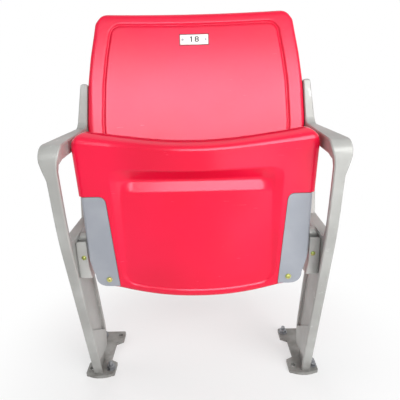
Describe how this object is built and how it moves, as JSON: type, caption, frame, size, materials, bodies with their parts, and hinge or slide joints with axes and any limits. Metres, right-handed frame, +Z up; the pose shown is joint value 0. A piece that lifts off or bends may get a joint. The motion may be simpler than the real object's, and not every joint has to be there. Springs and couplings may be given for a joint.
{
  "type": "folding stadium seat",
  "caption": "Self-folding stadium seat: curved plastic seat and back between cast side standards with arm loops, shown folded up.",
  "frame": {"origin": "on the floor, under the middle of the folded seat", "axes": "+Z up, the seat faces -Y, +X to the right seen from the front"},
  "size_m": [0.586, 0.3314, 0.8536],
  "materials": {
    "casting": "silver-grey powder coat, slightly rough",
    "red_shell": "semi-gloss moulded, fine texture",
    "bracket_steel": "smooth grey coat",
    "zinc": "yellow zinc plated",
    "spring_steel": "oiled wire",
    "nylon": "plain",
    "white_plate": "satin"
  },
  "bodies": {
    "frame": {"back_shell": "red_shell", "number_plate": "white_plate", "left_plate_rivet": "bracket_steel", "left_lower_back_bolt": "zinc", "left_upper_back_bolt": "zinc", "right_plate_rivet": "bracket_steel", "right_lower_back_bolt": "zinc", "right_upper_back_bolt": "zinc", "left_standard": "casting", "left_hinge_housing": "casting", "left_pivot_bush": "nylon", "left_return_spring": "spring_steel", "left_housing_screw": "zinc", "right_standard": "casting", "right_hinge_housing": "casting", "right_pivot_bush": "nylon", "right_return_spring": "spring_steel", "right_housing_screw": "zinc"},
    "seat": {"seat_shell": "red_shell", "left_seat_bracket": "bracket_steel", "left_pivot_pin": "bracket_steel", "left_pivot_nut": "zinc", "left_flange_bolt": "zinc", "left_rear_side_screw": "zinc", "left_front_side_screw": "zinc", "right_seat_bracket": "bracket_steel", "right_pivot_pin": "bracket_steel", "right_pivot_nut": "zinc", "right_flange_bolt": "zinc", "right_rear_side_screw": "zinc", "right_front_side_screw": "zinc"}
  },
  "joints": [
    {"name": "seat_fold", "type": "hinge", "parent": "frame", "child": "seat", "pos_m": [0, -0.07974, 0.396], "axis": [1, 0, 0], "range_deg": [0, 85], "stiffness_Nm_per_rad": 2.2, "springref_deg": -68.75}
  ]
}
